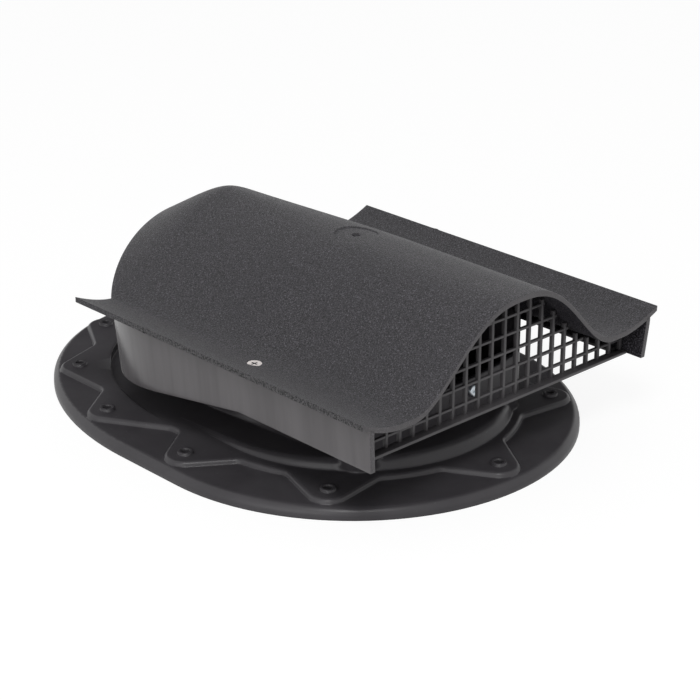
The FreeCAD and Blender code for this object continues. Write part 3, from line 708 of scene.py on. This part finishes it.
# %% [markdown]
# The lattice stands on a ledge, and a rail runs back from each end of it to a block that a wing screw
# bites into. These are plain moulded boxes, so they are boxes here too, and a small bevel rounds every
# edge of the finished piece, because a moulded edge always catches a thread of light.

# %% Ledge, rails and screw blocks
LEDGE_LIP, LEDGE_HEIGHT = 3.5, 1.8
RAIL_WIDTH, RAIL_END = 5, 95
BLOCK_WIDTH, BLOCK_START, BLOCK_END = 19, 93, 118
BLOCK_TOP = LEVEL - WALL - 0.3
ledge_top = LIFT + LEDGE_HEIGHT
boxes = [((-SPAN, BAR_FRONT - LEDGE_LIP, LIFT), (SPAN, BAR_FRONT + BAR_DEPTH, ledge_top))]
for side in (1, -1):
    outer = side * (INNER - 1.2)
    boxes.append(((outer - side * RAIL_WIDTH, BAR_FRONT, LIFT), (outer, FRONT + RAIL_END, ledge_top)))
    boxes.append(((outer - side * BLOCK_WIDTH, FRONT + BLOCK_START, LIFT),
                  (outer, FRONT + BLOCK_END, BLOCK_TOP)))
work = bmesh.new()
work.from_mesh(grille.data)
for low, high in boxes:
    corners = bmesh.ops.create_cube(work, size=1.0)["verts"]
    for vert in corners:
        vert.co = Vector([(a + b) / 2 + c * abs(b - a) for a, b, c in zip(low, high, vert.co)]) * MM
bmesh.ops.recalc_face_normals(work, faces=work.faces)
bpy.data.objects.remove(grille)
grille = piece_of("grille_moulding", work)
edges = grille.modifiers.new("moulded_edges", "BEVEL")
edges.width = 0.3 * MM
edges.segments = 2
edges.limit_method = "ANGLE"
made_plain(grille)
grille.data.materials.clear()
grille.data.materials.append(grille_plastic)
grille.data.shade_smooth()
grille.data.set_sharp_from_angle(angle=math.radians(40))
print("grille", len(grille.data.polygons), "faces")

# %% [markdown]
# ## The base and the screws
# The base and the screws are exact solids already, but a frame's mesh is loose triangles. A copy with
# its points merged can be shaded smoothly: faces that meet at a small angle share their normals, and
# weighted normals keep a wide flat face flat beside a narrow round.


# %% Smooth shells from the frame's triangles
def smooth_shell(node, name, finish):
    work = bmesh.new()
    work.from_mesh(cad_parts[node].data)
    bmesh.ops.remove_doubles(work, verts=work.verts, dist=2e-6)
    bmesh.ops.dissolve_limit(work, angle_limit=math.radians(0.1), verts=work.verts, edges=work.edges)
    shell = piece_of(name, work)
    shell.data.shade_smooth()
    shell.data.set_sharp_from_angle(angle=math.radians(32))
    weigh = shell.modifiers.new("flats_stay_flat", "WEIGHTED_NORMAL")
    weigh.keep_sharp = True
    weigh.weight = 100
    made_plain(shell)
    shell.data.materials.clear()
    shell.data.materials.append(finish)
    print(name, len(shell.data.polygons), "faces")
    return shell


base = smooth_shell("base_flange", "base_moulding", base_plastic)
wing_screws = smooth_shell("wing_screws", "wing_screw_pair", dull_steel)
duct_screws = smooth_shell("duct_screws", "duct_screw_pair", bright_zinc)

# %% [markdown]
# The inside of the duct is taken to be as dull as the inside of the hood. Its faces are the ones above
# the deck that look towards the duct's middle, and the base's finish is told of them.

# %% Say where the duct is dull
DUCT_AXIS = FRONT + 122.0
ABOVE_DECK = 20.0
core_side = base.data.attributes.new("core_side", "FLOAT", "FACE")
for face in base.data.polygons:
    x, y, z = face.center / MM
    inward = x * face.normal.x + (y - DUCT_AXIS) * face.normal.y < 0
    core_side.data[face.index].value = 1.0 if inward and z > ABOVE_DECK else 0.0
print("dull duct faces", sum(item.value > 0 for item in core_side.data))

# %% [markdown]
# ## Handing over
# Each finished piece rides on the one body and stands in for its solid.

# %% Hand the pieces over
for piece, node, slot in ((hood, "hood", "hood_plastic"), (base, "base_flange", "base_plastic"),
                          (grille, "front_grille", "grille_plastic"),
                          (wing_screws, "wing_screws", "wing_screw_steel"),
                          (duct_screws, "duct_screws", "zinc_steel")):
    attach(piece, "root")
    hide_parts(node)
    print(piece.name, "stands in for", node)

# %% [markdown]
# ## The studio
# The floor is white paper. Seen by the eye, most of its white is a plain glow, and the rest is lit
# paper, which keeps the vent's soft shadow. A reflection meets a weaker glow, so that the duct stays dark
# inside. The surround works in the same way: the eye and a glossy surface meet white, while the light
# that falls on the vent comes from a dimmer sky. A Light Path node tells these kinds of ray apart.


# %% How white something looks to the eye
def seen_share(tree, direct, mirrored):
    path = add(tree, "ShaderNodeLightPath").outputs
    camera, through = path["Is Camera Ray"], path["Is Transmission Ray"]
    seen = add(tree, MATH, {0: camera, 1: through}, operation="MAXIMUM")
    seen = add(tree, MATH, {0: seen, 1: direct}, operation="MULTIPLY")
    return add(tree, MATH, {0: path["Is Glossy Ray"], 1: mirrored, 2: seen}, operation="MULTIPLY_ADD")


# %% Floor
FLOOR_REACH = 6.0
FLOOR_SEEN, FLOOR_MIRRORED = 0.8, 0.35
work = bmesh.new()
bmesh.ops.create_grid(work, x_segments=1, y_segments=1, size=FLOOR_REACH)
floor = piece_of("studio_floor", work)
floor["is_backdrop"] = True
paper = bpy.data.materials.new("studio_paper")
paper.use_nodes = True
tree = paper.node_tree
tree.nodes.clear()
lit = add(tree, "ShaderNodeBsdfDiffuse", {"Color": linear("#f4f4f4")})
glow = add(tree, "ShaderNodeEmission", {"Color": (1, 1, 1, 1), "Strength": 1.1})
# Under the flange, inside this oval, the paper shows only the light that falls down the duct.
COVERED = (0.12, 0.16)
place = add(tree, "ShaderNodeTexCoord").outputs["Object"]
oval = add(tree, "ShaderNodeMapping", {"Vector": place, "Scale": (1 / COVERED[0], 1 / COVERED[1], 0.0)})
reach = add(tree, "ShaderNodeVectorMath", {0: oval}, operation="LENGTH").outputs["Value"]
in_the_open = add(tree, MATH, {0: reach, 1: 1.0}, operation="GREATER_THAN")
share = seen_share(tree, FLOOR_SEEN, FLOOR_MIRRORED)
share = add(tree, MATH, {0: share, 1: in_the_open}, operation="MULTIPLY")
both = add(tree, "ShaderNodeMixShader", {0: share, 1: lit, 2: glow})
add(tree, "ShaderNodeOutputMaterial", {"Surface": both})
floor.data.materials.append(paper)
print("floor", 2 * FLOOR_REACH, "m wide")

# %% Surround
SKY_SEEN, SKY_MIRRORED = 1.0, 0.9
world = bpy.data.worlds.new("studio_surround")
bpy.context.scene.world = world
world.use_nodes = True
tree = world.node_tree
tree.nodes.clear()
dim = add(tree, "ShaderNodeBackground", {"Color": (1, 1, 1, 1), "Strength": 0.45})
white = add(tree, "ShaderNodeBackground", {"Color": (1, 1, 1, 1), "Strength": 1.0})
both = add(tree, "ShaderNodeMixShader", {0: seen_share(tree, SKY_SEEN, SKY_MIRRORED), 1: dim, 2: white})
add(tree, "ShaderNodeOutputWorld", {"Surface": both})
print("surround", len(tree.nodes), "nodes")

# %% [markdown]
# ## Light and camera
# Two softboxes shape the vent: a wide low one at the left lights the skirt, and a smaller high one draws
# the light lines on the rounds. The camera stands where the picture was taken from, high at the front
# left, with a long lens, so lines that run away from it hardly draw together.


# %% Softboxes
AIM = Vector((0, 0, 0.05))


def lamp(name, place, size, power):
    light = bpy.data.lights.new(name, "AREA")
    light.shape = "SQUARE"
    light.size = size
    light.energy = power
    holder = bpy.data.objects.new(name, light)
    holder.location = place
    holder.rotation_euler = (AIM - Vector(place)).to_track_quat("-Z", "Y").to_euler()
    bpy.context.scene.collection.objects.link(holder)
    print(name, power, "W")


lamp("low_softbox", (-1.5, -0.6, 0.4), 1.2, 6.5)
lamp("high_softbox", (-0.75, -0.8, 1.4), 0.45, 8.5)

# %% Camera
EYE = Vector((-772.0, -853.8, 523.7)) * MM
LOOK = Vector((0.632, 0.667, -0.395))
camera_data = bpy.data.cameras.new("camera")
camera_data.lens = 107.2
camera_data.sensor_width = 36.0
camera = bpy.data.objects.new("camera", camera_data)
camera.location = EYE
camera.rotation_euler = LOOK.to_track_quat("-Z", "Y").to_euler()
bpy.context.scene.collection.objects.link(camera)
bpy.context.scene.camera = camera
bpy.context.scene.view_settings.view_transform = "Standard"
print("camera", round(EYE.length, 2), "m from the vent")

# %% [markdown]
# ## The sizes, once more
# A picture can look right and still be the wrong size, so the box round the solids and the box round the
# finished pieces are written down side by side.

# %% Finish
boxes = {"cad": [list(corner) for corner in cad_box], "visual": [list(corner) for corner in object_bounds()]}
print("boxes", boxes)
